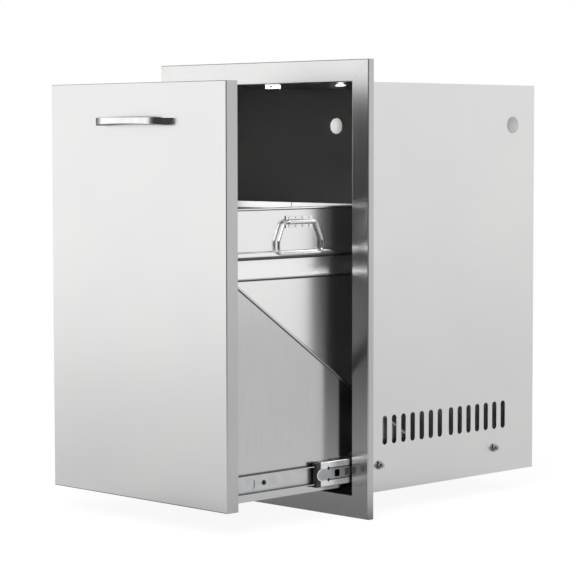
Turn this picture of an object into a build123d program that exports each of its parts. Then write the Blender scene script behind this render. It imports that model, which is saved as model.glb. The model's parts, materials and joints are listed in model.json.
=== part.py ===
from build123d import *
import os

os.makedirs("parts", exist_ok=True)

# Built-in pull-out trash drawer, shown half open.
# Millimetres. X to the right, Y into the cabinet, Z up. The origin is on the middle plane,
# at the back of the flange frame and at the underside of the cabinet box.

# Sheet metal
sheet = 1.0                # stainless sheet of the frame, cabinet and drawer
bend = 1.6                 # outside radius of a fold
lip = 14.0                 # width of a folded lip
lip_relief = 25.0          # how far a lip stops short of a corner

# Frame round the opening
flange_width = 435.0
flange_height = 650.0
flange_depth = 11.0
flange_border = 32.0       # from the opening's edge to the outer edge
mitre_gap = 0.2            # hairline at each mitred corner

# Cabinet box
cabinet_depth = 394.0      # from the flange's back to the rear face
slot_width = 10.0
slot_length = 42.0
slot_pitch = 20.0
slots_in_group = 7
slot_group_step = 25.0     # from the last slot of one group to the first of the next
first_slot = 57.5          # first slot's centre behind the flange
slot_height = 88.0         # slot centres above the underside
hose_radius = 11.0
hose_from_back = 51.5
hose_from_top = 60.0
plug_radius = 13.0
plug_flange = 1.4
plug_wall = 1.6
plug_dish = 10.0           # radius of the dish in the plug's face
plug_dish_depth = 0.8
plug_ring_radius = 12.4    # snap ring behind the sheet
plug_ring = 2.0

# Fasteners
rivet_radius = 1.6
rivet_head_radius = 3.2
rivet_head = 1.4
rivet_tail = 2.0           # length behind the last sheet
screw_radius = 1.9
screw_head_radius = 3.4
screw_head = 1.5
screw_tail = 4.0           # length past the last sheet
fastener_clearance = 0.1   # round a shank in its hole
back_rivet_rows = 3        # rivets up each side of the back
lip_rivet_spread = 220.0   # between the two rivets along the top and the bottom of the back

# Slides: profile sizes run from the cabinet wall towards the drawer
slide_height = 36.0        # slide centre line above the underside
slide_length = 350.0
slide_thickness = 12.7
slide_gauge = 1.2
channel_half = 22.5
channel_reach = 11.0
carrier_half = 17.8
carrier_back = 2.4
carrier_reach = 10.9
carrier_short = 40.0       # how much shorter the carrier is than the slide
carrier_setback = 26.3     # behind the channel's front end when shut
carrier_share = 0.45       # share of the drawer's travel that the carrier makes
tongue_length = 8.0        # rounded end of the carrier's web
tongue_half = 8.3
tongue_lip = 1.6           # raised edge round the tongue
tongue_lip_rise = 0.6
runner_half = 13.1
runner_tip = 4.6
slide_setback = 1.5        # slide ends behind the drawer front
groove_from_middle = 8.2   # two grooves along the carrier's web
groove_from_front = 15.7
groove_width = 1.4
groove_depth = 0.5
groove_end_radius = 2.6    # dimple at each groove's front end
window = 10.0              # square windows in the carrier's web
window_pitch = 20.5
window_from_front = 33.0
bolt_radius = 2.5
bolt_head_radius = 4.0
bolt_head = 1.5
bolt_length = 9.0          # outside the cabinet wall
bolt_rise = 2.5            # bolts above the slide's centre line
first_bolt = 45.5
bolt_spacing = 256.0
nut_flats = 9.0
nut_height = 4.0
nut_flange_radius = 6.6
nut_flange = 1.2
runner_screw_from_front = 56.5
runner_screw_from_rear = 32.0
runner_screws = 3
runner_slot_from_front = 36.5
runner_slot_width = 5.5
runner_slot_length = 12.0
bumper_length = 8.6
bumper_clearance = 0.6     # round the runner
head_clearance = 0.6       # over the runner's screw heads

# Ball cages
ball_radius = 1.6
ball_play = 0.15           # between ball and race
ball_pitch = 20.0
ball_line = 6.5            # ball rows, from the cabinet wall
cage_web = 0.4
cage_strip = 0.9
cage_gap = 0.3             # between a cage and the members beside it
cage_reach = 10.0
outer_cage_length = 120.0
outer_cage_from_channel = 77.5
inner_cage_length = 100.0
inner_cage_from_carrier = 39.0

# Drawer front and pull
pull_out = 241.75          # how far the drawer stands open
front_gap = 1.5            # all round the front in the opening
front_thickness = 21.0
liner_fit = 0.2            # liner inside the skin's returns
pull_length = 140.0
pull_height = 12.0         # at the feet
pull_waist = 10.0          # in the middle
pull_projection = 28.0
pull_end_projection = 13.0
pull_thickness = 7.0
pull_foot = 12.0
pull_from_top = 53.5       # pull's centre below the front's top edge
pull_edge = 1.4
pull_screw_depth = 7.0

# Drawer sides and tray
tray_height = 12.0         # tray's underside above the cabinet's
tray_wall = 28.0
bracket_height = 304.0     # at the front, above the tray's underside
bracket_slope = 0.683      # fall of the sloping edge
bracket_hem = 6.0
bracket_flange = 15.0
bracket_screw_rows = 3

# Catch and bumpers under the top
catch_width = 24.0
catch_depth = 10.0
catch_height = 6.2
catch_wall = 2.0
magnet_fit = 0.1
magnet_recess = 0.3
catch_screw_spread = 16.0
catch_play = 0.4           # between the shut drawer and what stops it
strike_width = 34.0
strike_height = 11.0
bumper_pad_radius = 7.5
bumper_pad = 2.6           # thickness of the round pad
bumper_neck_radius = 4.0
bumper_neck = 2.2
bumper_pad_spread = 270.0
bumper_stud_radius = 2.4

# Bin
bin_width = 318.0
bin_depth = 279.0
bin_height = 399.7
bin_wall = 0.8
bin_corner = 14.0
bin_bottom_bend = 6.0      # outside radius along the bottom edge
bin_front_space = 6.75     # behind the drawer front
bin_stand = 0.3            # over the tray
collar_height = 100.3
collar_wall = 1.0
collar_fit = 3.0
collar_touch = 0.1         # round the tub, at the lower edge
collar_turn = 3.4          # rounding of the lower edge, turned in to the tub
bead_height = 12.0
bead_rise = 2.4
bead_steps = 8
bead_from_rim = 59.5       # bead's upper edge below the rim
hem_height = 3.8
hem_rise = 2.0
rim_band = 9.0             # inside the rim, splayed outwards
rim_flare = 1.5
collar_seam = 1.2          # butt joint of the collar, at the back

# Bail handles on the bin's sides
bail_offset = -9.5        # bails from the middle of the bin, along Y
bail_wire = 2.0            # wire radius
bail_play = 0.2            # round the wire in its barrel
bail_plate_width = 52.0
bail_plate_height = 17.0
bail_plate_wall = 1.5
barrel_wall = 1.4
barrel_seat = 0.5          # how far the barrel sinks into its plate
barrel_below_rim = 20.5
bail_half_width = 43.0
bail_drop = 44.0
bail_shoulder = 26.0       # height of the slanting part
bail_engagement = 12.0
bail_bend = 7.0
bail_rivet_rows = 6.0      # rivet rows above and below the barrel
bail_rivet_pitch = 13.0
bail_rivet_count = 4       # in each row
bail_rivet_radius = 1.0
bail_rivet_head_radius = 1.6
bail_rivet_head = 0.8

# Places that follow from the sizes above
opening_width = flange_width - 2 * flange_border
opening_height = flange_height - 2 * flange_border
wall_in = opening_width / 2
wall_out = wall_in + sheet
ceiling = sheet + opening_height
cabinet_height = ceiling + sheet
shut_face = -flange_depth
front_face = shut_face - pull_out
front_back = front_face + front_thickness
shut_back = shut_face + front_thickness
side_out = wall_in - slide_thickness
side_in = side_out - sheet
channel_front = shut_back + slide_setback
runner_front = front_back + slide_setback
carrier_front = channel_front + carrier_setback - carrier_share * pull_out
tray_rear = runner_front + slide_length
tray_top = tray_height + sheet


# Shapes

def block(x, y, z):
    """A plain block between a low and a high limit on each axis."""
    size = (x[1] - x[0], y[1] - y[0], z[1] - z[0])
    return Pos(x[0], y[0], z[0]) * Box(*size, align=(Align.MIN, Align.MIN, Align.MIN))


def rod(radius, start, end):
    """A round rod between two points."""
    axis = Vector(*end) - Vector(*start)
    plane = Plane(origin=start, z_dir=axis)
    return extrude(plane * Circle(radius), axis.length)


def slab_x(points, x):
    """An outline in Y and Z, made solid between two places on X."""
    outline = make_face(Polyline(*points, close=True))
    return extrude(Plane.YZ.offset(x[0]) * outline, x[1] - x[0])


def bar_y(points, y, rounded=(), radius=0.0):
    """A profile in X and Z, made solid between two places on Y, with some corners rounded."""
    outline = make_face(Polyline(*points, close=True))
    corners = [outline.vertices().sort_by_distance((*point, 0))[0] for point in rounded]
    if corners:
        outline = fillet(corners, radius)
    return extrude(Plane.XZ.offset(-y[1]) * outline, y[1] - y[0])


def other_side(shape):
    """The same piece on the left."""
    return mirror(shape, about=Plane.YZ)


def save(node, *solids):
    """Write one node, a single solid or a group of like solids."""
    shape = solids[0] if len(solids) == 1 else Compound(children=list(solids))
    export_step(shape, f"parts/{node}.step")


def evenly(count, pitch):
    """Places of a row of like things, centred on zero."""
    return [(index - (count - 1) / 2) * pitch for index in range(count)]


# Flange frame: four folded rails, mitred at the corners

def rail(length):
    """A rail along X. Its inner edge is at zero height and its front faces -Y."""
    profile = [
        (0, 0),
        (-flange_depth, 0),
        (-flange_depth, flange_border),
        (0, flange_border),
        (0, flange_border - lip),
        (-sheet, flange_border - lip),
        (-sheet, flange_border - sheet),
        (sheet - flange_depth, flange_border - sheet),
        (sheet - flange_depth, sheet),
        (0, sheet),
    ]
    outline = make_face(Polyline(*profile, close=True))
    folds = [(-flange_depth, 0), (-flange_depth, flange_border)]
    corners = [outline.vertices().sort_by_distance((*fold, 0))[0] for fold in folds]
    outline = fillet(corners, bend)
    bar = extrude(Plane.YZ.offset(-length / 2) * outline, length)
    outer = (length - mitre_gap) / 2
    inner = outer - flange_border
    mitre = [(-inner, 0), (inner, 0), (outer, flange_border), (-outer, flange_border)]
    return bar & bar_y(mitre, (-flange_depth, 0))


cabinet_middle = cabinet_height / 2
save("frame_top_rail", Pos(0, 0, ceiling) * rail(flange_width))
save("frame_bottom_rail", Pos(0, 0, sheet) * Rot(0, 180, 0) * rail(flange_width))
save("frame_right_stile", Pos(wall_in, 0, cabinet_middle) * Rot(0, 90, 0) * rail(flange_height))
save("frame_left_stile", Pos(-wall_in, 0, cabinet_middle) * Rot(0, -90, 0) * rail(flange_height))

# Cabinet rivets: where the back is riveted to the lips of the sides, the top and the floor
inside_back = cabinet_depth - sheet
lip_front = inside_back - sheet
side_rivet_x = wall_in - lip / 2
top_rivet_z = ceiling - lip / 2
floor_rivet_z = sheet + lip / 2
side_rivet_pitch = (cabinet_height - 4 * lip_relief) / (back_rivet_rows - 1)
rivet_places = [
    (side * side_rivet_x, cabinet_middle + rise)
    for side in (-1, 1)
    for rise in evenly(back_rivet_rows, side_rivet_pitch)
]
rivet_places += [
    (across, height)
    for across in evenly(2, lip_rivet_spread)
    for height in (floor_rivet_z, top_rivet_z)
]


def back_rivet(x, z):
    """A blind rivet with its round head behind the cabinet."""
    shank = rod(rivet_radius, (x, lip_front - rivet_tail, z), (x, cabinet_depth, z))
    head = rod(rivet_head_radius, (x, cabinet_depth, z), (x, cabinet_depth + rivet_head, z))
    rim = head.edges().group_by(Axis.Y)[-1]
    return shank + fillet(rim, rivet_head * 0.7)


rivet_hole_radius = rivet_radius + fastener_clearance
rivet_holes = [
    rod(rivet_hole_radius, (x, lip_front - sheet, z), (x, cabinet_depth + sheet, z))
    for x, z in rivet_places
]
save("cabinet_rivets", *[back_rivet(x, z) for x, z in rivet_places])

# Cabinet sides: slotted sheets with a lip at the rear and holes for the hose and the slide bolts
bolt_places = [first_bolt, first_bolt + bolt_spacing]
bolt_z = slide_height + bolt_rise
group_length = (slots_in_group - 1) * slot_pitch
slot_places = [
    first_slot + group * (group_length + slot_group_step) + index * slot_pitch
    for group in range(2)
    for index in range(slots_in_group)
]


def slide_bolt(y, clearance=0.0):
    """A countersunk bolt from inside the channel out through the right wall, or its hole."""
    inner = wall_in - slide_gauge
    profile = [
        (inner, 0),
        (inner, bolt_head_radius + clearance),
        (inner + bolt_head, bolt_radius + clearance),
        (wall_out + bolt_length, bolt_radius + clearance),
        (wall_out + bolt_length, 0),
    ]
    outline = make_face(Polyline(*profile, close=True))
    return Pos(0, y, bolt_z) * revolve(outline, Axis.X)


bolt_holes = [slide_bolt(y, fastener_clearance) for y in bolt_places]

cabinet_side = block((wall_in, wall_out), (0, inside_back), (0, cabinet_height))
cabinet_side += block(
    (wall_in - lip, wall_in), (lip_front, inside_back), (lip_relief, cabinet_height - lip_relief)
)
for place in slot_places:
    slot = Plane.YZ.offset(wall_in - sheet) * Pos(place, slot_height) * Rot(0, 0, 90)
    cabinet_side -= extrude(slot * SlotOverall(slot_length, slot_width), 3 * sheet)
hose_y = cabinet_depth - hose_from_back
hose_z = cabinet_height - hose_from_top
cabinet_side -= rod(hose_radius, (wall_in - sheet, hose_y, hose_z), (wall_out + sheet, hose_y, hose_z))
for hole in bolt_holes + rivet_holes:
    cabinet_side -= hole
save("cabinet_right_side", cabinet_side)
save("cabinet_left_side", other_side(cabinet_side))

# Hose plugs: snap-in caps that close the hose holes until they are needed
plug_outline = [
    (wall_out, hose_radius - fastener_clearance),
    (wall_out, plug_radius),
    (wall_out + plug_flange, plug_radius),
    (wall_out + plug_flange, plug_dish),
    (wall_out + plug_flange - plug_dish_depth, plug_dish),
    (wall_out + plug_flange - plug_dish_depth, 0),
    (wall_in, 0),
    (wall_in, hose_radius - plug_wall),
    (wall_in - plug_ring, hose_radius - plug_wall),
    (wall_in - plug_ring, hose_radius - fastener_clearance),
    (wall_in - fastener_clearance, plug_ring_radius),
    (wall_in - fastener_clearance, hose_radius - fastener_clearance),
]
plug = Pos(0, hose_y, hose_z) * revolve(make_face(Polyline(*plug_outline, close=True)), Axis.X)
save("hose_plugs", plug, other_side(plug))


# Cabinet top, floor and back: folded sheets between the sides

def cover(low, lip_span):
    """A sheet welded between the sides at one height, with a lip along the back."""
    body = block((-wall_in, wall_in), (0, inside_back), (low, low + sheet))
    body += block((lip_relief - wall_in, wall_in - lip_relief), (lip_front, inside_back), lip_span)
    for hole in rivet_holes:
        body -= hole
    return body


catch_front = shut_back + sheet + catch_play
catch_bottom = ceiling - catch_height
catch_screw_y = catch_front + catch_depth / 2
catch_screw_places = evenly(2, catch_screw_spread)
stud_y = catch_front + bumper_pad_radius
stud_places = evenly(2, bumper_pad_spread)
stud_hole_radius = bumper_stud_radius + fastener_clearance
screw_hole_radius = screw_radius + fastener_clearance
catch_head_top = catch_bottom + screw_head

cabinet_top = cover(ceiling, (ceiling - lip, ceiling))
for x in catch_screw_places:
    cabinet_top -= rod(screw_hole_radius, (x, catch_screw_y, catch_bottom), (x, catch_screw_y, 2 * ceiling))
for x in stud_places:
    cabinet_top -= rod(stud_hole_radius, (x, stud_y, catch_bottom), (x, stud_y, 2 * ceiling))
save("cabinet_top", cabinet_top)
save("cabinet_floor", cover(0, (sheet, sheet + lip)))

cabinet_back = block((-wall_out, wall_out), (inside_back, cabinet_depth), (0, cabinet_height))
for hole in rivet_holes:
    cabinet_back -= hole
save("cabinet_back", cabinet_back)

# Magnetic catch: a moulded housing with the magnet in its mouth, screwed up into the top
housing = block(
    (-catch_width / 2, catch_width / 2), (catch_front, catch_front + catch_depth), (catch_bottom, ceiling)
)
magnet_half = catch_screw_spread / 2 - screw_head_radius - catch_wall
magnet_back = catch_front + catch_depth * 0.6
magnet_low = catch_bottom + catch_wall
magnet_high = ceiling - catch_wall
housing -= block(
    (-magnet_half - magnet_fit, magnet_half + magnet_fit),
    (catch_front - sheet, magnet_back + magnet_fit),
    (magnet_low - magnet_fit, magnet_high + magnet_fit),
)
housing = fillet(housing.edges().filter_by(Axis.Z).group_by(Axis.Y)[-1], catch_wall)
catch_screws = []
for x in catch_screw_places:
    low = (x, catch_screw_y, catch_bottom)
    seat = (x, catch_screw_y, catch_head_top)
    high = (x, catch_screw_y, cabinet_height + screw_tail)
    housing -= rod(screw_hole_radius, low, high)
    housing -= rod(screw_head_radius + fastener_clearance, low, seat)
    catch_screws.append(rod(screw_head_radius, low, seat) + rod(screw_radius, seat, high))
save("catch_housing", housing)
save(
    "catch_magnet",
    block(
        (-magnet_half, magnet_half), (catch_front + magnet_recess, magnet_back), (magnet_low, magnet_high)
    ),
)
save("catch_screws", *catch_screws)

# Closing bumpers: soft round pads on a neck, with a stud pushed through the top
pads = []
for x in stud_places:
    pad_high = (x, stud_y, ceiling - bumper_neck)
    pad = rod(bumper_pad_radius, (x, stud_y, ceiling - bumper_neck - bumper_pad), pad_high)
    pad = fillet(pad.edges(), bumper_pad * 0.4)
    pad += rod(bumper_neck_radius, pad_high, (x, stud_y, ceiling))
    pads.append(pad + rod(bumper_stud_radius, (x, stud_y, ceiling), (x, stud_y, cabinet_height + sheet)))
save("closing_bumpers", *pads)


# Ball slides: channel on the cabinet, carrier in the middle, runner on the drawer

def channel_profile(back, tip, half):
    """An open channel: back of its web, tips of its flanges and half its height."""
    web = back + slide_gauge if tip > back else back - slide_gauge
    inner = half - slide_gauge
    return [
        (back, -half),
        (tip, -half),
        (tip, -inner),
        (web, -inner),
        (web, inner),
        (tip, inner),
        (tip, half),
        (back, half),
    ]


def on_slide(points):
    """Slide profile points as X and Z on the right side."""
    return [(wall_in - depth, slide_height + rise) for depth, rise in points]


def slide_member(back, tip, half, y):
    """A rolled channel of the slide with rounded back corners."""
    folds = on_slide([(back, -half), (back, half)])
    return bar_y(on_slide(channel_profile(back, tip, half)), y, folds, bend)


channel = slide_member(0, channel_reach, channel_half, (channel_front, channel_front + slide_length))
for hole in bolt_holes:
    channel -= hole
save("right_slide_channel", channel)
save("left_slide_channel", other_side(channel))

right_bolts = [slide_bolt(y) for y in bolt_places]
save("slide_bolts", *right_bolts, *[other_side(bolt) for bolt in right_bolts])


def flange_nut(y):
    """A hexagon nut with a round flange, on the outside of the right wall."""
    face = Plane(origin=(wall_out, y, bolt_z), x_dir=(0, 1, 0), z_dir=(1, 0, 0))
    flange = extrude(face * Circle(nut_flange_radius), nut_flange)
    hexagon = RegularPolygon(nut_flats / 2, 6, major_radius=False)
    body = flange + extrude(face * hexagon, nut_flange + nut_height)
    return body - extrude(face * Circle(bolt_radius + fastener_clearance), 2 * bolt_length)


right_nuts = [flange_nut(y) for y in bolt_places]
save("slide_nuts", *right_nuts, *[other_side(nut) for nut in right_nuts])

carrier_span = (carrier_front, carrier_front + slide_length - carrier_short)
carrier = slide_member(carrier_back, carrier_reach, carrier_half, carrier_span)


def tongue(inset):
    """The outline of the carrier's rounded end, drawn in by an inset."""
    half = tongue_half - inset
    low = (carrier_front, slide_height - half)
    high = (carrier_front, slide_height + half)
    tip = (carrier_front - tongue_length + inset, slide_height)
    return make_face([ThreePointArc(low, tip, high), Line(high, low)])


carrier_web_x = wall_in - carrier_back - slide_gauge
web_plane = Plane.YZ.offset(carrier_web_x)
carrier += extrude(web_plane * tongue(0), slide_gauge + tongue_lip_rise)
carrier -= extrude(web_plane.offset(slide_gauge) * tongue(tongue_lip), tongue_lip_rise)
for step in range(2):
    low = carrier_front + window_from_front - window / 2 + step * window_pitch
    carrier -= block(
        (carrier_web_x - sheet, wall_in),
        (low, low + window),
        (slide_height - window / 2, slide_height + window / 2),
    )
carrier_face = wall_in - carrier_back
groove_start = carrier_front + groove_from_front
for z in evenly(2, 2 * groove_from_middle):
    groove_z = slide_height + z
    carrier -= block(
        (carrier_face - groove_depth, wall_in),
        (groove_start, carrier_span[1]),
        (groove_z - groove_width / 2, groove_z + groove_width / 2),
    )
    carrier -= rod(
        groove_end_radius,
        (carrier_face - groove_depth, groove_start, groove_z),
        (wall_in, groove_start, groove_z),
    )
save("right_slide_carrier", carrier)
save("left_slide_carrier", other_side(carrier))

runner = slide_member(
    slide_thickness, runner_tip, runner_half, (runner_front, runner_front + slide_length)
)
runner_screw_pitch = (slide_length - runner_screw_from_front - runner_screw_from_rear) / (runner_screws - 1)
runner_screw_places = [
    runner_front + runner_screw_from_front + index * runner_screw_pitch for index in range(runner_screws)
]
runner_web_x = side_out + slide_gauge
screw_tip_x = side_in - sheet - screw_tail
runner_screw_holes = [
    rod(screw_hole_radius, (runner_web_x + sheet, y, slide_height), (screw_tip_x, y, slide_height))
    for y in runner_screw_places
]
for hole in runner_screw_holes:
    runner -= hole
runner_slot = Plane.YZ.offset(side_out - sheet) * Pos(runner_front + runner_slot_from_front, slide_height)
runner_slot_shape = Rot(0, 0, 90) * SlotOverall(runner_slot_length, runner_slot_width)
runner -= extrude(runner_slot * runner_slot_shape, slide_gauge + 2 * sheet)
save("right_slide_runner", runner)
save("left_slide_runner", other_side(runner))


def runner_screw(y):
    """A pan head screw through the runner, the side bracket and the tray's wall."""
    seat = (runner_web_x, y, slide_height)
    top = (runner_web_x + screw_head, y, slide_height)
    head = rod(screw_head_radius, seat, top)
    head = fillet(head.edges().group_by(Axis.X)[-1], screw_head * 0.6)
    return head + rod(screw_radius, seat, (screw_tip_x, y, slide_height))


right_runner_screws = [runner_screw(y) for y in runner_screw_places]
save("runner_screws", *right_runner_screws, *[other_side(screw) for screw in right_runner_screws])

# Slide bumpers: moulded pieces at the carriers' front ends, open for the runner
arm_low = runner_half + bumper_clearance
arm_high = carrier_half - slide_gauge / 2
core = runner_half - slide_gauge - bumper_clearance
spine = runner_tip - bumper_clearance
core_reach = slide_thickness - slide_gauge - screw_head - head_clearance
bumper_profile = [
    (carrier_back, -arm_high),
    (carrier_reach, -arm_high),
    (carrier_reach, -arm_low),
    (spine, -arm_low),
    (spine, -core),
    (core_reach, -core),
    (core_reach, core),
    (spine, core),
    (spine, arm_low),
    (carrier_reach, arm_low),
    (carrier_reach, arm_high),
    (carrier_back, arm_high),
]
slide_bumper = bar_y(on_slide(bumper_profile), (carrier_front - bumper_length, carrier_front))
slide_bumper -= block(
    (carrier_web_x - fastener_clearance, wall_in),
    (carrier_front - tongue_length - fastener_clearance, carrier_front),
    (slide_height - tongue_half - fastener_clearance, slide_height + tongue_half + fastener_clearance),
)
save("right_slide_bumper", slide_bumper)
save("left_slide_bumper", other_side(slide_bumper))


# Ball cages: thin channels between the slide members, with balls in their upper and lower strips

def ball_cage(side, back, web, race, y, length):
    """Save one cage and its balls. race is the middle of the gap that the balls run in."""
    low = race - cage_strip / 2
    high = race + cage_strip / 2
    profile = [
        (back, -high),
        (cage_reach, -high),
        (cage_reach, -low),
        (back + web, -low),
        (back + web, low),
        (cage_reach, low),
        (cage_reach, high),
        (back, high),
    ]
    cage = bar_y(on_slide(profile), (y, y + length))
    balls = []
    x = wall_in - ball_line
    for place in evenly(int(length // ball_pitch), ball_pitch):
        for z in (slide_height - race, slide_height + race):
            centre = (x, y + length / 2 + place, z)
            cage -= Pos(*centre) * Cylinder(ball_radius + ball_play, 3 * cage_strip)
            balls.append(Pos(*centre) * Sphere(ball_radius))
    save(f"right_{side}_cage", cage)
    save(f"left_{side}_cage", other_side(cage))
    save(f"right_{side}_balls", *balls)
    save(f"left_{side}_balls", *[other_side(ball) for ball in balls])


outer_race = (channel_half - slide_gauge + carrier_half) / 2
inner_race = (carrier_half - slide_gauge + runner_half) / 2
outer_cage_back = slide_gauge + cage_gap
inner_cage_back = carrier_back + slide_gauge + cage_gap
outer_cage_front = channel_front + outer_cage_from_channel
ball_cage("outer", outer_cage_back, cage_web, outer_race, outer_cage_front, outer_cage_length)
inner_cage_front = carrier_front + inner_cage_from_carrier
ball_cage("inner", inner_cage_back, cage_web, inner_race, inner_cage_front, inner_cage_length)

# Drawer front: a folded skin, closed behind by a liner that fits between its returns
front_half = wall_in - front_gap
front_low = sheet + front_gap
front_high = ceiling - front_gap
pull_z = front_high - pull_from_top
pull_screw_x = (pull_length - pull_foot) / 2

skin = block((-front_half, front_half), (front_face, front_back), (front_low, front_high))
skin = fillet(skin.edges().group_by(Axis.Y)[0], bend)
skin -= block(
    (sheet - front_half, front_half - sheet),
    (front_face + sheet, front_back),
    (front_low + sheet, front_high - sheet),
)
pull_screw_head_back = front_face + sheet + screw_head
for x in evenly(2, 2 * pull_screw_x):
    skin -= rod(screw_hole_radius, (x, front_face - sheet, pull_z), (x, front_back, pull_z))
save("front_skin", skin)

liner_edge = sheet + liner_fit
liner_half = front_half - liner_edge
liner = block(
    (-liner_half, liner_half), (front_back - lip, front_back), (front_low + liner_edge, front_high - liner_edge)
)
liner -= block(
    (sheet - liner_half, liner_half - sheet),
    (front_back - lip, front_back - sheet),
    (front_low + liner_edge + sheet, front_high - liner_edge - sheet),
)
bracket_top = tray_height + bracket_height
bracket_screw_x = side_in - bracket_flange / 2
bracket_screw_pitch = (bracket_height - 4 * lip_relief) / (bracket_screw_rows - 1)
bracket_screw_heights = [
    tray_height + bracket_height / 2 + rise for rise in evenly(bracket_screw_rows, bracket_screw_pitch)
]
bracket_screw_holes = [
    rod(screw_hole_radius, (x, front_back - lip, z), (x, front_back + 2 * sheet, z))
    for x in (-bracket_screw_x, bracket_screw_x)
    for z in bracket_screw_heights
]
for hole in bracket_screw_holes:
    liner -= hole
save("front_liner", liner)

# Pull: a bowed polished bar, taller at its feet than in the middle
end = pull_length / 2
plan = make_face(
    [
        Polyline((-end, 0), (-end, -pull_end_projection)),
        ThreePointArc((-end, -pull_end_projection), (0, -pull_projection), (end, -pull_end_projection)),
        Polyline((end, -pull_end_projection), (end, 0), (end - pull_foot, 0)),
        ThreePointArc((end - pull_foot, 0), (0, pull_thickness - pull_projection), (pull_foot - end, 0)),
        Line((pull_foot - end, 0), (-end, 0)),
    ]
)
waist = pull_height / 2 - (pull_height - pull_waist)
elevation = make_face(
    [
        ThreePointArc((-end, -pull_height / 2), (0, -waist), (end, -pull_height / 2)),
        Polyline(
            (end, -pull_height / 2), (end, pull_height / 2), (-end, pull_height / 2), (-end, -pull_height / 2)
        ),
    ]
)
pull = extrude(Plane.XY.offset(-pull_height / 2) * plan, pull_height)
pull &= extrude(Plane.XZ * elevation, pull_projection)
foot_edges = pull.edges().group_by(Axis.Y)[-1]
pull = fillet(pull.edges() - foot_edges, pull_edge)
pull = Pos(0, front_face, pull_z) * pull
pull_screws = []
for x in evenly(2, 2 * pull_screw_x):
    inside = (x, front_face + sheet, pull_z)
    tip = (x, front_face - pull_screw_depth, pull_z)
    pull -= rod(screw_hole_radius, (x, front_face, pull_z), (x, tip[1] - sheet, pull_z))
    head = rod(screw_head_radius, inside, (x, pull_screw_head_back, pull_z))
    pull_screws.append(head + rod(screw_radius, inside, tip))
save("pull_bar", pull)
save("pull_screws", *pull_screws)

# Side brackets: sloping plates with a hemmed upper edge and a flange on the liner
bracket_fall = bracket_slope * (tray_rear - front_back)
bracket_rear_top = bracket_top - bracket_fall
bracket = slab_x(
    [
        (front_back, tray_height),
        (front_back, bracket_top),
        (tray_rear, bracket_rear_top),
        (tray_rear, tray_height),
    ],
    (side_in, side_out),
)
bracket += slab_x(
    [
        (front_back, bracket_top),
        (tray_rear, bracket_rear_top),
        (tray_rear, bracket_rear_top - bracket_hem),
        (front_back, bracket_top - bracket_hem),
    ],
    (side_out, side_out + sheet),
)
bracket += block(
    (side_in - bracket_flange, side_in), (front_back, front_back + sheet), (tray_top + sheet, bracket_top - lip)
)
for hole in runner_screw_holes + bracket_screw_holes:
    bracket -= hole
save("right_side_bracket", bracket)
save("left_side_bracket", other_side(bracket))


def bracket_screw(x, z):
    """A pan head screw through a bracket's flange into the drawer front."""
    seat = front_back + sheet
    head = rod(screw_head_radius, (x, seat, z), (x, seat + screw_head, z))
    head = fillet(head.edges().group_by(Axis.Y)[-1], screw_head * 0.6)
    return head + rod(screw_radius, (x, front_back - sheet - screw_tail, z), (x, seat, z))


save(
    "bracket_screws",
    *[bracket_screw(x, z) for x in (-bracket_screw_x, bracket_screw_x) for z in bracket_screw_heights],
)

# Tray: a folded floor between the brackets
tray_wall_top = tray_height + tray_wall
tray = block((-side_in, side_in), (front_back, tray_rear), (tray_height, tray_top))
tray_front_half = side_in - bracket_flange - sheet
tray += block((-tray_front_half, tray_front_half), (front_back, front_back + sheet), (tray_height, tray_wall_top))
tray += block((sheet - side_in, side_in - sheet), (tray_rear - sheet, tray_rear), (tray_height, tray_wall_top))
wall_span = (front_back + bracket_flange, tray_rear - 2 * sheet)
for edge in ((-side_in, sheet - side_in), (side_in - sheet, side_in)):
    tray += block(edge, wall_span, (tray_height, tray_wall_top))
for hole in runner_screw_holes:
    tray -= hole
    tray -= other_side(hole)
save("drawer_tray", tray)

# Strike plate: a steel tab on the liner that the catch's magnet holds
strike_low = front_high - liner_edge - strike_height
save(
    "strike_plate",
    block(
        (-strike_width / 2, strike_width / 2),
        (front_back, front_back + sheet),
        (strike_low, front_high - liner_edge),
    ),
)

# Bin: a welded tub with rounded corners
bin_front = front_back + bin_front_space
bin_middle = bin_front + bin_depth / 2
bin_low = tray_top + bin_stand
bin_rim = bin_low + bin_height


def tub_plan(grow):
    """The bin's plan, grown outwards."""
    plan = RectangleRounded(bin_width + 2 * grow, bin_depth + 2 * grow, bin_corner + grow)
    return Pos(0, bin_middle) * plan


def tub(grow, z):
    """A block with the bin's plan, grown outwards, between two heights."""
    return extrude(Plane.XY.offset(z[0]) * tub_plan(grow), z[1] - z[0])


barrel_radius = bail_wire + bail_play + barrel_wall
barrel_z = bin_rim - barrel_below_rim
bail_y = bin_middle + bail_offset
collar_out = bin_width / 2 + collar_fit + collar_wall
plate_out = collar_out + bail_plate_wall
barrel_x = plate_out + barrel_radius - barrel_seat
bail_rivet_places = [
    (bail_y + along, barrel_z + row)
    for along in evenly(bail_rivet_count, bail_rivet_pitch)
    for row in (-bail_rivet_rows, bail_rivet_rows)
]
bail_rivet_inside = bin_width / 2 - bin_wall
bail_rivet_hole_radius = bail_rivet_radius + fastener_clearance
bail_rivet_holes = [
    rod(bail_rivet_hole_radius, (bail_rivet_inside - sheet, y, z), (plate_out + sheet, y, z))
    for y, z in bail_rivet_places
]

bin_tub = tub(0, (bin_low, bin_rim - rim_band))
bin_tub = fillet(bin_tub.edges().group_by(Axis.Z)[0], bin_bottom_bend)
bin_inside = tub(-bin_wall, (bin_low + bin_wall, bin_rim))
bin_tub -= fillet(bin_inside.edges().group_by(Axis.Z)[0], bin_bottom_bend - bin_wall)
for hole in bail_rivet_holes:
    bin_tub -= hole
    bin_tub -= other_side(hole)
save("bin_tub", bin_tub)

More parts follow.
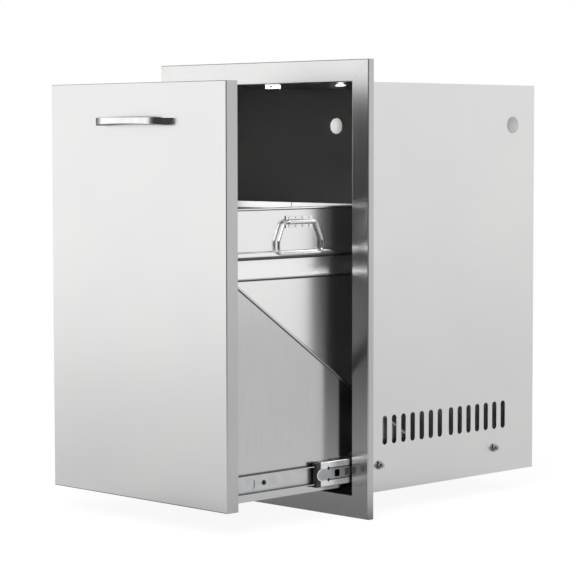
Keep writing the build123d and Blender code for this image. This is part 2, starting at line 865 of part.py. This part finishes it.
# Bin collar: a rolled sleeve round the tub's mouth, with a bead and a hemmed rim
sleeve = collar_fit + collar_wall
collar_low = bin_rim - collar_height
bead_high = bin_rim - bead_from_rim
bead_sections = []
for step in range(bead_steps + 1):
    height = step / bead_steps
    bulge = bead_rise * (4 * height * (1 - height)) ** 0.5
    section = tub_plan(sleeve + bulge)
    bead_sections.append(Plane.XY.offset(bead_high - bead_height * height) * section)
bead = loft(bead_sections, ruled=True)
hem = tub(sleeve + hem_rise, (bin_rim - hem_height, bin_rim))
for end_group in (0, -1):
    hem = fillet(hem.edges().group_by(Axis.Z)[end_group], hem_height * 0.45)
collar = tub(sleeve, (collar_low, bin_rim - hem_height / 2)) + bead
collar -= tub(collar_fit, (collar_low + collar_turn, bin_rim - rim_band))
turned_edge = tub(sleeve, (collar_low, collar_low + collar_turn))
turned_edge = fillet(turned_edge.edges().group_by(Axis.Z)[0], collar_turn * 0.95)
collar = collar - tub(sleeve, (collar_low, collar_low + collar_turn)) + turned_edge + hem
collar -= tub(collar_touch, (collar_low - sheet, collar_low + collar_turn))
mouth = [tub_plan(-bin_wall), tub_plan(rim_flare - bin_wall)]
collar -= loft([Plane.XY.offset(z) * plan for z, plan in zip((bin_rim - rim_band, bin_rim), mouth)], ruled=True)
collar -= block(
    (-collar_seam / 2, collar_seam / 2),
    (bin_middle + bin_depth / 2 - bin_wall, bin_middle + bin_depth),
    (collar_low, bin_rim),
)
for hole in bail_rivet_holes:
    collar -= hole
    collar -= other_side(hole)
save("bin_collar", collar)

# Bail plates: riveted to the collar, each with a barrel for the bail's ends
plate = block(
    (collar_out, plate_out),
    (bail_y - bail_plate_width / 2, bail_y + bail_plate_width / 2),
    (barrel_z - bail_plate_height / 2, barrel_z + bail_plate_height / 2),
)
barrel_half = bail_plate_width / 2 - bail_plate_wall
plate += rod(
    barrel_radius, (barrel_x, bail_y - barrel_half, barrel_z), (barrel_x, bail_y + barrel_half, barrel_z)
)
plate -= rod(
    bail_wire + bail_play,
    (barrel_x, bail_y - bail_plate_width, barrel_z),
    (barrel_x, bail_y + bail_plate_width, barrel_z),
)
for hole in bail_rivet_holes:
    plate -= hole
save("right_bail_plate", plate)
save("left_bail_plate", other_side(plate))


def bail_rivet(y, z):
    """A small round head rivet through the plate, the collar and the tub."""
    head = rod(bail_rivet_head_radius, (plate_out, y, z), (plate_out + bail_rivet_head, y, z))
    head = fillet(head.edges().group_by(Axis.X)[-1], bail_rivet_head * 0.7)
    return head + rod(bail_rivet_radius, (bail_rivet_inside, y, z), (plate_out, y, z))


right_bail_rivets = [bail_rivet(y, z) for y, z in bail_rivet_places]
save("bail_rivets", *right_bail_rivets, *[other_side(rivet) for rivet in right_bail_rivets])

# Bails: bent wire handles that hang from their barrels
elbow = barrel_half + bail_bend
shoulder_z = barrel_z - bail_shoulder
foot_z = barrel_z - bail_drop
half_route = [
    (barrel_half - bail_engagement, barrel_z),
    (elbow, barrel_z),
    (bail_half_width, shoulder_z),
    (bail_half_width, foot_z),
]
route = [(barrel_x, bail_y - along, z) for along, z in half_route]
route += [(barrel_x, bail_y + along, z) for along, z in reversed(half_route)]
wire_path = FilletPolyline(*route, radius=bail_bend)
wire_section = Plane(origin=route[0], z_dir=(0, -1, 0)) * Circle(bail_wire)
bail = sweep(wire_section, path=wire_path)
save("right_bail", bail)
save("left_bail", other_side(bail))
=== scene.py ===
import json
import math

import bpy
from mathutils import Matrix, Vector

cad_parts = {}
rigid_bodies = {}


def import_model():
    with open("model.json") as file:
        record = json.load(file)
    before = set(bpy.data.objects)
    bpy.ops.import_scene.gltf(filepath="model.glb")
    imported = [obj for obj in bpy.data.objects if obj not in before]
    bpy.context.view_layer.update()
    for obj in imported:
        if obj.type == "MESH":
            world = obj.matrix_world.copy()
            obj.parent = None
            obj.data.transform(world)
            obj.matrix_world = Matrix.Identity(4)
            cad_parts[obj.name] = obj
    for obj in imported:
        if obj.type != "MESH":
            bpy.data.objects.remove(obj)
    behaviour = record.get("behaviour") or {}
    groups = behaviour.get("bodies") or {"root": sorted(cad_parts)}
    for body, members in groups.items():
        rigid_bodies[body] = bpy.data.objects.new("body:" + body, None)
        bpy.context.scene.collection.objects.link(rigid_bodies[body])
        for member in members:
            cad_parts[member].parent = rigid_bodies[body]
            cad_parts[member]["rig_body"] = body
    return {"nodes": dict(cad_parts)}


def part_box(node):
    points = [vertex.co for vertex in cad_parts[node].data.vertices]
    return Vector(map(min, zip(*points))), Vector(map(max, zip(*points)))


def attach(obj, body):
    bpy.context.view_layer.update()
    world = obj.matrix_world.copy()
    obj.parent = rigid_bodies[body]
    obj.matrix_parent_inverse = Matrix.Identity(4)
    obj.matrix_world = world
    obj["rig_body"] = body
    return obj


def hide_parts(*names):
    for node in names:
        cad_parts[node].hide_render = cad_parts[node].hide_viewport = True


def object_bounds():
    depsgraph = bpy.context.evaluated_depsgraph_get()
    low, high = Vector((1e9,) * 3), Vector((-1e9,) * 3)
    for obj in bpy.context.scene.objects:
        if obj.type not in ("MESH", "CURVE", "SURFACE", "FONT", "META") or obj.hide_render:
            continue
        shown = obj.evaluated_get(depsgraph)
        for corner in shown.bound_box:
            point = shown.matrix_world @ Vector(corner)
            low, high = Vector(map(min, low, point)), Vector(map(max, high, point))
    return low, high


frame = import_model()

cad_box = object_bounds()

# Flange frame: four folded rails of stainless sheet, mitred and welded at the corners, ground flush.
# The grain runs along each rail, so it turns at the mitres, as the polisher left it.


def linear(code):
    """An sRGB hex colour as the linear values that a shader takes."""
    parts = [int(code[place:place + 2], 16) / 255 for place in (0, 2, 4)]
    return tuple(p / 12.92 if p <= 0.04045 else ((p + 0.055) / 1.055) ** 2.4 for p in parts) + (1.0,)


def add_node(tree, kind, inputs=(), **options):
    """Adds one node with its options, and sets or links each of its named inputs."""
    made = tree.nodes.new(kind)
    for name, value in options.items():
        setattr(made, name, value)
    for name, value in dict(inputs).items():
        if isinstance(value, bpy.types.NodeSocket):
            tree.links.new(value, made.inputs[name])
        else:
            made.inputs[name].default_value = value
    return made


def new_finish(name):
    """An empty material with its shader and its output, and the object's own coordinates."""
    finish = bpy.data.materials.new(name)
    finish.use_nodes = True
    tree = finish.node_tree
    tree.nodes.clear()
    shader = add_node(tree, "ShaderNodeBsdfPrincipled")
    add_node(tree, "ShaderNodeOutputMaterial", {"Surface": shader.outputs["BSDF"]})
    places = add_node(tree, "ShaderNodeTexCoord").outputs["Object"]
    return finish, tree, shader, places


def two_tones(tree, pattern, dark, dark_at, colour, colour_at):
    """A ramp over a pattern, from its dark colour to its main one."""
    ramp = add_node(tree, "ShaderNodeValToRGB", {"Fac": pattern})
    for stop, (place, code) in zip(ramp.color_ramp.elements, ((dark_at, dark), (colour_at, colour))):
        stop.position = place
        stop.color = linear(code)
    return ramp.outputs["Color"]


def coat(finish, *names):
    """Gives CAD nodes a finish in all their material slots."""
    for name in names:
        for place in frame["nodes"][name].material_slots:
            place.material = finish


def sheet_steel(name, along, colour, dark, rough, grain, lift):
    """Stainless sheet ground along one axis: fine streaks in its gloss, a faint cloud in its colour."""
    finish, tree, shader, places = new_finish(name)
    # One streak is about 60 mm long. The real grit is 0.1 mm wide, drawn 1.6 mm wide to show.
    streak_length, streak_width, cloud_size, streak_depth = 0.06, 0.0016, 0.14, 0.0002
    scale = [1 / streak_width] * 3
    scale["XYZ".index(along)] = 1 / streak_length
    turned = add_node(tree, "ShaderNodeMapping", {"Vector": places, "Scale": scale})
    streaks = add_node(tree, "ShaderNodeTexNoise", {
        "Vector": turned.outputs["Vector"], "Scale": 1.0, "Detail": 3.0, "Roughness": 0.6})
    cloud = add_node(tree, "ShaderNodeTexNoise", {
        "Vector": places, "Scale": 1 / cloud_size, "Detail": 2.0})
    tone = add_node(tree, "ShaderNodeMath", {
        0: streaks.outputs["Fac"], 1: cloud.outputs["Fac"]}, operation="MULTIPLY")
    gloss = add_node(tree, "ShaderNodeMapRange", {
        "Value": streaks.outputs["Fac"], "From Min": 0.3, "From Max": 0.7,
        "To Min": rough - grain, "To Max": rough + grain})
    relief = add_node(tree, "ShaderNodeBump", {
        "Height": streaks.outputs["Fac"], "Strength": lift, "Distance": streak_depth})
    tree.links.new(two_tones(tree, tone.outputs["Value"], dark, 0.12, colour, 0.38),
                   shader.inputs["Base Color"])
    tree.links.new(gloss.outputs["Result"], shader.inputs["Roughness"])
    tree.links.new(relief.outputs["Normal"], shader.inputs["Normal"])
    shader.inputs["Metallic"].default_value = 1.0
    return finish


# Brushed 304 stainless, ground with a fine belt: a soft bright sheen with streaks along the grain.
rail_along = sheet_steel("brushed_stainless_rail", "X", "c2c2c1", "bdbdbd", 0.25, 0.02, 0.02)
stile_along = sheet_steel("brushed_stainless_stile", "Z", "c2c2c1", "bdbdbd", 0.25, 0.02, 0.02)
# Mill finish on the folded edges: as it was rolled, duller and a shade darker than the ground face.
mill_edge = sheet_steel("mill_finish_edge", "Z", "b0b0af", "a8a8a8", 0.34, 0.03, 0.02)
coat(rail_along, "frame_top_rail", "frame_bottom_rail")


def buffed(name, finish, angle):
    """A copy of a solid, seams merged and curves shaded smooth, which stands for the solid."""
    solid = frame["nodes"][name]
    bpy.ops.object.select_all(action="DESELECT")
    piece = bpy.data.objects.new(name + "_buffed", solid.data.copy())
    bpy.context.scene.collection.objects.link(piece)
    bpy.context.view_layer.objects.active = piece
    piece.select_set(True)
    bpy.ops.object.mode_set(mode="EDIT")
    bpy.ops.mesh.select_all(action="SELECT")
    bpy.ops.mesh.remove_doubles(threshold=0.00001)
    bpy.ops.mesh.select_mode(type="EDGE")
    bpy.ops.mesh.select_all(action="DESELECT")
    bpy.ops.mesh.edges_select_sharp(sharpness=math.radians(angle))
    bpy.ops.mesh.mark_sharp()
    bpy.ops.object.mode_set(mode="OBJECT")
    bpy.ops.object.shade_smooth(keep_sharp_edges=True)
    bpy.ops.object.modifier_add(type="WEIGHTED_NORMAL")
    piece.modifiers[-1].keep_sharp = True
    bpy.ops.object.modifier_apply(modifier=piece.modifiers[-1].name)
    piece.data.materials.clear()
    piece.data.materials.append(finish)
    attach(piece, solid["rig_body"])
    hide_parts(name)
    return piece


def finish_faces(piece, finish, wanted):
    """Adds one more finish to a piece, on the faces that a test picks."""
    piece.data.materials.append(finish)
    slot = len(piece.data.materials) - 1
    for face in piece.data.polygons:
        if wanted(face):
            face.material_index = slot


def looks_sideways(face):
    """Whether a face looks to the left or to the right."""
    return abs(face.normal.x) > 0.8


for name in ("frame_left_stile", "frame_right_stile"):
    finish_faces(buffed(name, stile_along, 30), mill_edge, looks_sideways)

# Cabinet box: side, top, floor and back sheets of thin stainless, with blind rivets through their lips.
# The sheet comes satin from the mill, with a fine cross grain. Its inner side is duller mill finish,
# painted darker as painted shade of the cabinet's interior.
cabinet_steel = sheet_steel("satin_stainless_sheet", "Y", "c8c8c7", "c4c4c4", 0.30, 0.02, 0.01)
mill_and_shade_inside = sheet_steel("mill_finish_and_painted_shade_inside", "Y", "b8b8b7", "b0b0b0", 0.32, 0.02, 0.01)
coat(cabinet_steel, "cabinet_top", "cabinet_floor", "cabinet_back")
for name, inward in (("cabinet_left_side", 1), ("cabinet_right_side", -1)):
    sheet = buffed(name, cabinet_steel, 30)
    # The inner faces are painted darker, as painted shade.
    finish_faces(sheet, mill_and_shade_inside, lambda face: face.normal.x * inward > 0.8)


def small_steel(name, colour, dark, rough, grain_mm):
    """Plated or polished steel on small pieces: fine grain in its gloss, a faint cloud in its colour."""
    finish, tree, shader, places = new_finish(name)
    cloud_size = 0.012
    fine = add_node(tree, "ShaderNodeTexNoise", {
        "Vector": places, "Scale": 1000 / grain_mm, "Detail": 2.0})
    cloud = add_node(tree, "ShaderNodeTexNoise", {
        "Vector": places, "Scale": 1 / cloud_size, "Detail": 2.0})
    gloss = add_node(tree, "ShaderNodeMapRange", {
        "Value": fine.outputs["Fac"], "From Min": 0.3, "From Max": 0.7,
        "To Min": rough * 0.75, "To Max": rough * 1.3})
    tree.links.new(two_tones(tree, cloud.outputs["Fac"], dark, 0.3, colour, 0.6),
                   shader.inputs["Base Color"])
    tree.links.new(gloss.outputs["Result"], shader.inputs["Roughness"])
    shader.inputs["Metallic"].default_value = 1.0
    return finish


# Bright plated steel of rivets, screws and balls: small sharp highlights.
bright_steel = small_steel("bright_plated_steel", "cfcfce", "b4b4b4", 0.18, 1.0)
coat(bright_steel, "cabinet_rivets")

# Magnetic catch and two buffers under the cabinet's top, moulded in white plastic, screwed from below.
# The magnet is a dark steel block set in the housing.


def moulded(name, colour, dark, rough):
    """Moulded plastic with a fine spark-eroded texture."""
    finish, tree, shader, places = new_finish(name)
    spark_size, spark_depth = 0.0008, 0.0001
    texture = add_node(tree, "ShaderNodeTexNoise", {
        "Vector": places, "Scale": 1 / spark_size, "Detail": 2.0})
    gloss = add_node(tree, "ShaderNodeMapRange", {
        "Value": texture.outputs["Fac"], "From Min": 0.3, "From Max": 0.7,
        "To Min": rough - 0.08, "To Max": rough + 0.08})
    relief = add_node(tree, "ShaderNodeBump", {
        "Height": texture.outputs["Fac"], "Strength": 0.1, "Distance": spark_depth})
    tree.links.new(two_tones(tree, texture.outputs["Fac"], dark, 0.3, colour, 0.65),
                   shader.inputs["Base Color"])
    tree.links.new(gloss.outputs["Result"], shader.inputs["Roughness"])
    tree.links.new(relief.outputs["Normal"], shader.inputs["Normal"])
    shader.inputs["IOR"].default_value = 1.49
    return finish


# Moulded acetal, white and slightly waxy, and spring steel, dark from hardening.
white_plastic = moulded("white_acetal", "f2f2ee", "e8e8e3", 0.42)
dark_steel = small_steel("dark_spring_steel", "6a6a6b", "555556", 0.3, 1.0)
coat(white_plastic, "catch_housing", "closing_bumpers")
coat(dark_steel, "catch_magnet")
coat(bright_steel, "catch_screws")

# Hose plugs: milky polyethylene cups in the holes of both sides, dished on the outside.
# The right one is drawn from its thin outer lip, down the hole to a flange behind the sheet, and
# mirrored to the left. Polyethylene looks waxy and dull, and a little grey against the steel.
milky_plastic = moulded("milky_polyethylene", "9c9c9a", "949492", 0.5)
low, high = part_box("hose_plugs")
plug_y, plug_z = (low[1] + high[1]) / 2, (low[2] + high[2]) / 2
sheet_inside, sheet_outside = 0.1855, 0.1865
plug_lip, plug_barrel, plug_flange = 0.0127, 0.0109, 0.0129
lip_face = sheet_outside + 0.0005
flange_depth = 0.0014
cup_rings = ((0.0007, 0.0006), (0.0022, 0.0), (0.0032, 0.0014), (0.0036, 0.0008))
dish_rings = ((0.0005, 0.0), (0.0021, 0.0010), (0.0022, 0.0018), (0.0030, 0.0012))


def select_faces(piece, wanted):
    """Goes into edit mode with the faces selected that a test picks."""
    bpy.ops.object.mode_set(mode="EDIT")
    bpy.ops.mesh.select_mode(type="FACE")
    bpy.ops.mesh.select_all(action="DESELECT")
    bpy.ops.object.mode_set(mode="OBJECT")
    for face in piece.data.polygons:
        face.select = wanted(face)
    bpy.ops.object.mode_set(mode="EDIT")


def step_inwards(rings):
    """Insets the selected face ring by ring, each ring moved towards the cabinet's middle."""
    for width, depth in rings:
        bpy.ops.mesh.inset(thickness=width)
        bpy.ops.transform.translate(value=(-depth, 0, 0))


bpy.ops.object.select_all(action="DESELECT")
bpy.ops.mesh.primitive_circle_add(vertices=64, radius=plug_lip, fill_type="NGON",
                                  location=(lip_face, plug_y, plug_z), rotation=(0, math.pi / 2, 0))
plugs = bpy.context.object
plugs.name = "hose_plug_cups"
bpy.ops.object.transform_apply(location=True, rotation=True, scale=True)
bpy.ops.object.mode_set(mode="EDIT")
bpy.ops.mesh.select_mode(type="FACE")
bpy.ops.mesh.select_all(action="SELECT")
for start, end, spread in ((lip_face, sheet_outside, plug_barrel / plug_lip),
                           (sheet_outside, sheet_inside, plug_flange / plug_barrel)):
    bpy.ops.mesh.extrude_region_move(TRANSFORM_OT_translate={"value": (end - start, 0, 0)})
    bpy.ops.mesh.extrude_region_move(TRANSFORM_OT_translate={"value": (0, 0, 0)})
    bpy.ops.transform.resize(value=(1, spread, spread), center_override=(end, plug_y, plug_z))
bpy.ops.mesh.extrude_region_move(TRANSFORM_OT_translate={"value": (-flange_depth, 0, 0)})
step_inwards(cup_rings)
select_faces(plugs, lambda face: abs(face.center.x - lip_face) < 0.00001)
step_inwards(dish_rings)
bpy.ops.mesh.select_all(action="SELECT")
bpy.ops.mesh.normals_make_consistent(inside=False)
bpy.ops.mesh.duplicate()
bpy.ops.transform.resize(value=(-1, 1, 1), center_override=(0, 0, 0))
bpy.ops.mesh.select_all(action="SELECT")
bpy.ops.mesh.normals_make_consistent(inside=False)
bpy.ops.object.mode_set(mode="OBJECT")
bpy.ops.object.shade_smooth_by_angle(angle=math.radians(50))
plugs.data.materials.append(milky_plastic)
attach(plugs, frame["nodes"]["hose_plugs"]["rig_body"])
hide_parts("hose_plugs")

# Ball slides: rolled members of zinc plated steel, a channel bolted to each side sheet, a carrier and
# a runner. Balls run in spring steel cages, and a black moulded buffer closes the carrier's front end.
# Zinc plate is bluish and bright, and the runner's is duller.
zinc_steel = small_steel("bright_zinc_plate", "d4d5d6", "cccdcf", 0.24, 1.2)
runner_zinc = small_steel("dull_zinc_plate", "babbbc", "b0b1b3", 0.28, 1.2)
# The carrier's web between its two grooves is painted a darker zinc, as painted shade of the pressed-in
# web. The grooves and the runner's flanges, which the balls roll along, are painted near black as
# painted shade.
web_shade_zinc = small_steel("painted_shade_zinc_web", "a2a3a5", "98999b", 0.34, 1.2)
track_shade_steel = small_steel("painted_shade_ball_track", "404042", "363638", 0.4, 1.0)
coat(zinc_steel, "left_slide_channel", "right_slide_channel")
web_half, web_depth, groove_depth, depth_slack = 0.0082, 0.0006, 0.0005, 0.0001


def lies_at(x, depth, slack):
    """Whether a place is at a distance from the part's middle plane, on either side."""
    return abs(abs(x) - depth) < slack


for side in ("left", "right"):
    runner = buffed(side + "_slide_runner", runner_zinc, 30)
    # The runner's flanges are painted near black, as painted shade.
    finish_faces(runner, track_shade_steel, lambda face: abs(face.normal.z) > 0.8)
    carrier = buffed(side + "_slide_carrier", zinc_steel, 30)
    low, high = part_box(side + "_slide_carrier")
    middle = (low[2] + high[2]) / 2
    web = max(abs(low[0]), abs(high[0])) - web_depth
    bpy.ops.object.mode_set(mode="EDIT")
    for edge in (-web_half, web_half):
        bpy.ops.mesh.select_all(action="SELECT")
        bpy.ops.mesh.bisect(plane_co=(0, 0, middle + edge), plane_no=(0, 0, 1))
    bpy.ops.object.mode_set(mode="OBJECT")
    # The grooves are painted near black and the web between them darker, as painted shade.
    for finish, depth, reach in ((track_shade_steel, web - groove_depth, math.inf),
                                 (web_shade_zinc, web, web_half)):
        finish_faces(carrier, finish, lambda face: (
            abs(face.normal.x) > 0.9 and lies_at(face.center.x, depth, depth_slack)
            and abs(face.center.z - middle) < reach))
coat(bright_steel, "left_outer_balls", "right_outer_balls", "left_inner_balls", "right_inner_balls")
coat(dark_steel, "left_outer_cage", "right_outer_cage", "left_inner_cage", "right_inner_cage")
# Zinc plated bolts wiped with oil, which shine, and moulded nylon, black and slightly rough.
bolt_steel = small_steel("oiled_zinc_bolt", "a6a6a7", "949495", 0.12, 1.0)
black_plastic = moulded("black_nylon", "1c1c1c", "121212", 0.45)
coat(bolt_steel, "slide_bolts", "slide_nuts")
coat(black_plastic, "left_slide_bumper", "right_slide_bumper")

# Drawer front: a folded outer skin of brushed stainless over a folded liner in mill finish.
# The grain is upright, the folded sides are dull, and the faces under the lower fold are painted dark as
# painted shade.
front_steel = sheet_steel("brushed_stainless_front", "Z", "c2c2c1", "bfbfbf", 0.25, 0.015, 0.008)
liner_steel = sheet_steel("mill_finish_liner", "Z", "b4b4b3", "ababab", 0.42, 0.03, 0.02)
underside_shade_steel = small_steel("painted_underside_shade", "5c5c5c", "525252", 0.4, 1.0)


def paint_shade_under(piece, tilt):
    """Paints the faces that look down by more than a tilt dark, as painted shade under them."""
    finish_faces(piece, underside_shade_steel, lambda face: face.normal.z < -tilt)


skin = buffed("front_skin", front_steel, 30)
finish_faces(skin, mill_edge, looks_sideways)
paint_shade_under(skin, 0.35)
coat(liner_steel, "front_liner")

# Pull: a bowed bar of polished stainless, held by two screws from inside the front.
# It is forged and buffed, so its bow and its rounded edges shine without a break.
polished_steel = small_steel("polished_stainless", "cacac9", "c2c2c2", 0.07, 2.0)
# The bar's faces that look down are painted dark, as painted shade.
paint_shade_under(buffed("pull_bar", polished_steel, 40), 0.5)
coat(bright_steel, "pull_screws")

# Drawer body: two sloping side plates of brushed stainless and a folded tray, screwed together and to
# the runners. The hem on each plate's sloping edge is pressed round: its face is cut in three strips,
# and the outer two lean back.
plate_steel = sheet_steel("brushed_stainless_plate", "Z", "b6b6b6", "b0b0b0", 0.17, 0.01, 0.004)
strip_half, hem_lean, hem_slack = 0.0007, 0.0007, 0.00001
for name in ("left_side_bracket", "right_side_bracket"):
    plate = buffed(name, plate_steel, 30)
    hem_face = max(abs(corner[0]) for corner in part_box(name))
    bpy.ops.object.mode_set(mode="EDIT")
    bpy.ops.mesh.select_all(action="SELECT")
    bpy.ops.mesh.dissolve_limited(angle_limit=math.radians(1))
    bpy.ops.object.mode_set(mode="OBJECT")
    corners = sorted((point.co.y, point.co.z) for point in plate.data.vertices
                     if lies_at(point.co.x, hem_face, hem_slack))
    (front_y, front_low), (_, front_high), (rear_y, rear_low), _ = corners
    middle = Vector((0, front_y, (front_low + front_high) / 2))
    across = Vector((0, front_low - rear_low, rear_y - front_y)).normalized()
    for offset in (-strip_half, strip_half):
        select_faces(plate, lambda face: lies_at(face.center.x, hem_face, hem_slack))
        bpy.ops.mesh.bisect(plane_co=middle + across * offset, plane_no=across)
    bpy.ops.object.mode_set(mode="OBJECT")
    for point in plate.data.vertices:
        from_middle = abs((point.co - middle).dot(across))
        if lies_at(point.co.x, hem_face, hem_slack) and from_middle > strip_half * 1.4:
            point.co.x *= 1 - hem_lean / hem_face
    # The hem's lower strip and the plate's other faces that look down are painted dark, as painted
    # shade.
    paint_shade_under(plate, 0.1)
# Black oxide on the runner screws: nearly black, with a dull shine.
black_steel = small_steel("black_oxide_screw", "343435", "2a2a2b", 0.32, 1.0)
coat(cabinet_steel, "drawer_tray")
coat(black_steel, "runner_screws")
coat(bright_steel, "bracket_screws")
coat(zinc_steel, "strike_plate")

# Bin: a welded tub of bright rolled stainless, almost without grain, with a beaded collar at its mouth.
# The collar's lower edge is rolled out by a millimetre before it turns in, so that it catches the
# light along its top.
bin_steel = sheet_steel("bright_rolled_stainless", "Y", "d8d8d7", "d5d5d5", 0.27, 0.003, 0.0005)
buffed("bin_tub", bin_steel, 40)
collar = buffed("bin_collar", bin_steel, 40)
low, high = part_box("bin_collar")
bead_rise, edge_height, edge_slope, edge_roll, height_slack = 0.0024, 0.0036, 0.0018, 0.001, 0.0003
bin_middle = [(low[axis] + high[axis]) / 2 for axis in (0, 1)]
wall_reach = [(high[axis] - low[axis]) / 2 - bead_rise for axis in (0, 1)]
edge_top = low[2] + edge_height
bpy.ops.object.mode_set(mode="EDIT")
for height in (edge_top, edge_top + edge_slope):
    bpy.ops.mesh.select_all(action="SELECT")
    bpy.ops.mesh.bisect(plane_co=(0, 0, height), plane_no=(0, 0, 1))
bpy.ops.mesh.select_all(action="SELECT")
bpy.ops.mesh.remove_doubles(threshold=0.000005)
bpy.ops.object.mode_set(mode="OBJECT")
for point in collar.data.vertices:
    if abs(point.co.z - edge_top) < height_slack:
        for axis in (0, 1):
            point.co[axis] += (point.co[axis] - bin_middle[axis]) * edge_roll / wall_reach[axis]
# The collar's faces that look down, under the bead and at the turned lower edge, are painted dark as
# painted shade.
paint_shade_under(collar, 0.12)

# Bails: drop handles of bent wire in polished plates, riveted to the bin's sides.
# The wire is stainless, drawn through a die, so it is bright with a slight blur along its length.
wire_steel = small_steel("drawn_stainless_wire", "c8c8c7", "bcbcbc", 0.24, 1.5)
for name in ("left_bail_plate", "right_bail_plate"):
    buffed(name, polished_steel, 50)
for name in ("left_bail", "right_bail"):
    buffed(name, wire_steel, 50)
coat(bright_steel, "bail_rivets")

# Studio: a plain pale floor, a white surround and large soft lamps.
# The floor is matt paint, and the camera stands where the photograph was taken.
bpy.ops.object.select_all(action="DESELECT")
floor_level = cad_box[0][2]
bpy.ops.mesh.primitive_circle_add(vertices=96, radius=1.6, fill_type="NGON",
                                  location=(0, 0, floor_level))
floor = bpy.context.object
floor.name = "studio_floor"
floor_paint = bpy.data.materials.new("pale_floor_paint")
floor_paint.use_nodes = True
tree = floor_paint.node_tree
tree.nodes.clear()
paint = add_node(tree, "ShaderNodeBsdfDiffuse", {"Color": linear("f0f0f0")})
glow = add_node(tree, "ShaderNodeEmission", {"Color": (1, 1, 1, 1), "Strength": 1.0})
rays = add_node(tree, "ShaderNodeLightPath")
# Metal mirrors the same white floor, with a painted shadow in an oval where it runs in under the object.
oval_x, oval_y = 0.26, 0.38
oval = add_node(tree, "ShaderNodeMapping", {
    "Vector": add_node(tree, "ShaderNodeTexCoord").outputs["Object"], "Location": (0, -0.16, 0),
    "Scale": (1 / oval_x, 1 / oval_y, 1)})
away = add_node(tree, "ShaderNodeVectorMath", {0: oval.outputs["Vector"]}, operation="LENGTH")
open_floor = add_node(tree, "ShaderNodeMapRange", {
    "Value": away.outputs["Value"], "From Min": 0.85, "From Max": 1.4,
    "To Min": 0.24, "To Max": 1.0}, interpolation_type="SMOOTHSTEP")
mirrored = add_node(tree, "ShaderNodeEmission", {
    "Color": (1, 1, 1, 1), "Strength": open_floor.outputs["Result"]})
# The camera sees mostly white, and enough of the paint to show the object's shadow.
share = add_node(tree, "ShaderNodeMath", {
    0: rays.outputs["Is Camera Ray"], 1: 0.92}, operation="MULTIPLY")
seen = add_node(tree, "ShaderNodeMixShader", {
    "Fac": share.outputs["Value"], 1: paint.outputs["BSDF"], 2: glow.outputs["Emission"]})
both = add_node(tree, "ShaderNodeMixShader", {
    "Fac": rays.outputs["Is Glossy Ray"], 1: seen.outputs["Shader"], 2: mirrored.outputs["Emission"]})
add_node(tree, "ShaderNodeOutputMaterial", {"Surface": both.outputs["Shader"]})
floor.data.materials.append(floor_paint)

world = bpy.data.worlds.new("white_studio")
bpy.context.scene.world = world
world.use_nodes = True
tree = world.node_tree
tree.nodes.clear()
rays = add_node(tree, "ShaderNodeLightPath")
way = add_node(tree, "ShaderNodeTexCoord").outputs["Generated"]
# White all round, but metal also mirrors three dim zones. Each has the way to its middle, the cosines
# where it starts and where it is darkest, and its least light.
dim_zones = (
    ((0.74, -0.67, 0.12), 0.40, 0.56, 0.07),   # the room behind the camera
    ((-0.65, 0.62, -0.44), 0.56, 0.74, 0.06),  # the room behind the object
    ((0, 0, 1), 0.35, 0.8, 0.2),               # the ceiling
)
level = None
for side, near, full, least in dim_zones:
    facing = add_node(tree, "ShaderNodeVectorMath", {0: way, 1: side}, operation="DOT_PRODUCT")
    dim = add_node(tree, "ShaderNodeMapRange", {
        "Value": facing.outputs["Value"], "From Min": near, "From Max": full,
        "To Min": 1.0, "To Max": least}, interpolation_type="SMOOTHSTEP").outputs["Result"]
    if level:
        dim = add_node(tree, "ShaderNodeMath", {0: level, 1: dim},
                       operation="MULTIPLY").outputs["Value"]
    level = dim
white = add_node(tree, "ShaderNodeMath", {
    0: rays.outputs["Is Camera Ray"], 1: rays.outputs["Is Transmission Ray"]}, operation="MAXIMUM")
even = add_node(tree, "ShaderNodeMath", {
    0: rays.outputs["Is Diffuse Ray"], 1: level}, operation="MAXIMUM")
strength = add_node(tree, "ShaderNodeMath", {
    0: white.outputs["Value"], 1: even.outputs["Value"]}, operation="MAXIMUM")
light = add_node(tree, "ShaderNodeBackground", {
    "Color": (1, 1, 1, 1), "Strength": strength.outputs["Value"]})
add_node(tree, "ShaderNodeOutputWorld", {"Surface": light.outputs["Background"]})


def hang(lamp, place, target):
    """Puts a lamp in its place, facing a point."""
    holder = bpy.data.objects.new(lamp.name, lamp)
    bpy.context.scene.collection.objects.link(holder)
    holder.location = place
    holder.rotation_euler = (Vector(target) - Vector(place)).to_track_quat("-Z", "Y").to_euler()
    return holder


def soft_lamp(name, place, target, width, height, power):
    """A large soft lamp that faces a point."""
    lamp = bpy.data.lights.new(name, "AREA")
    lamp.shape = "RECTANGLE"
    lamp.size = width
    lamp.size_y = height
    lamp.energy = power
    hang(lamp, place, target).visible_camera = False


soft_lamp("overhead", (0.3, -0.6, 3.2), (0, 0, 0.3), 3.0, 3.0, 35)
soft_lamp("left_window", (-3.4, -3.25, 1.0), (0, -0.2, 0.4), 6.6, 2.6, 34)
soft_lamp("right_window", (3.0, 3.2, 1.2), (0.2, 0.2, 0.4), 3.0, 2.6, 8)
soft_lamp("high_front", (1.6, -2.46, 2.26), (0, -0.1, 0.4), 1.8, 1.9, 90)

# A narrow lamp near the camera reaches the left hose plug inside the cabinet. Metal doesn't mirror it.
fill = bpy.data.lights.new("inside_fill", "SPOT")
fill.energy = 1350
fill.spot_size = math.radians(6.5)
fill.spot_blend = 1.0
fill.shadow_soft_size = 0.03
hang(fill, (2.3, -2.2, 0.62), (-0.186, 0.3425, 0.527)).visible_glossy = False

camera = bpy.data.cameras.new("photo_camera")
camera.lens = 140.1
camera.sensor_width = 36
camera.clip_end = 100
holder = bpy.data.objects.new("photo_camera", camera)
bpy.context.scene.collection.objects.link(holder)
holder.location = (2.3652, -2.3061, 0.5079)
holder.rotation_euler = (math.radians(90 - 3.817), math.radians(0.068), math.radians(45.149))
bpy.context.scene.camera = holder
bpy.context.scene.view_settings.view_transform = "Standard"
